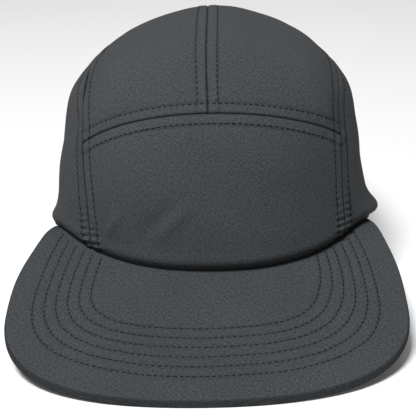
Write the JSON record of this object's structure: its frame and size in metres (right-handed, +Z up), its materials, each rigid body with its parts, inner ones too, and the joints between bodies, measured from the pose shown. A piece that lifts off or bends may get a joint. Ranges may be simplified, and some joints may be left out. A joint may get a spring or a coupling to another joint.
{
  "type": "five panel cap",
  "caption": "Soft cap with a panelled crown, a stiff flat brim and an arched back opening that a webbing strap with a slide buckle closes.",
  "frame": {"origin": "middle of the foot of the part's box, on the surface that the cap rests on", "axes": "+Z up, the brim points to -Y, +X to the right of a viewer in front of the brim"},
  "size_m": [0.1776, 0.2578, 0.1318],
  "materials": {
    "crown_fabric": "fine charcoal woven cloth",
    "brim_fabric": "fine charcoal woven cloth over a stiff board, with rows of stitching",
    "sweatband_fabric": "dark soft twill",
    "strap_webbing": "dark ribbed webbing",
    "buckle_plastic": "black moulded plastic"
  },
  "bodies": {
    "root": {"front_panel": "crown_fabric", "side_panel_left": "crown_fabric", "side_panel_right": "crown_fabric", "top_panel_left": "crown_fabric", "top_panel_right": "crown_fabric", "brim": "brim_fabric", "sweatband": "sweatband_fabric", "strap_left": "strap_webbing", "strap_right": "strap_webbing", "buckle": "buckle_plastic"}
  },
  "joints": []
}
